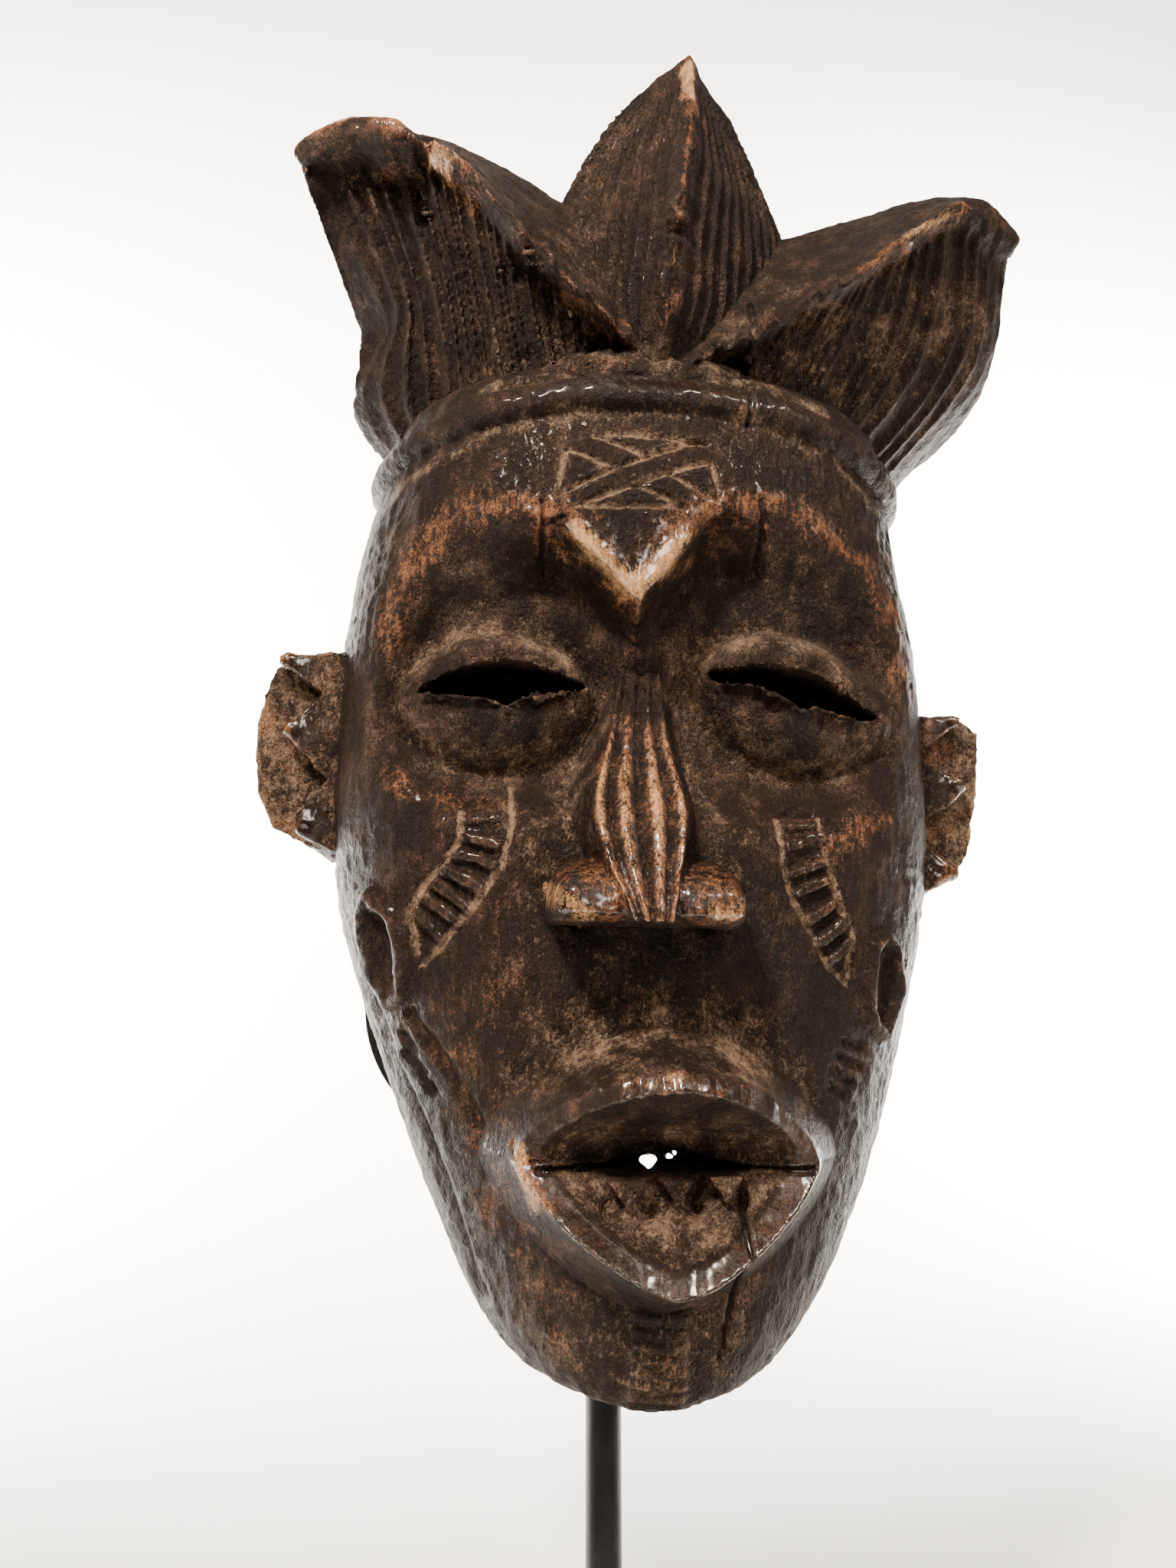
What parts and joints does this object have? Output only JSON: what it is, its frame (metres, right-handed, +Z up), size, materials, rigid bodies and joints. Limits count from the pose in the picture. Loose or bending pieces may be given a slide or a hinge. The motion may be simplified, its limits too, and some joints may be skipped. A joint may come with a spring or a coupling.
{
  "type": "carved face mask on display stand",
  "caption": "Hollow carved wooden face mask with a three-pointed crest, ears and slit eyes, held upright on a round display rod with a flat foot.",
  "frame": {"origin": "centre of the underside of the base plate, on the surface that the stand rests on", "axes": "+Z up; the mask faces -Y; +X is to the right as seen from the front"},
  "size_m": [0.1886, 0.13, 0.4117],
  "materials": {
    "carved_wood": "dark, worn and waxed patina",
    "black_steel": "matte black",
    "black_board": "matte black"
  },
  "bodies": {
    "root": {"mask": "carved_wood", "backing": "black_board", "rod": "black_steel", "base_plate": "black_steel"}
  },
  "joints": []
}
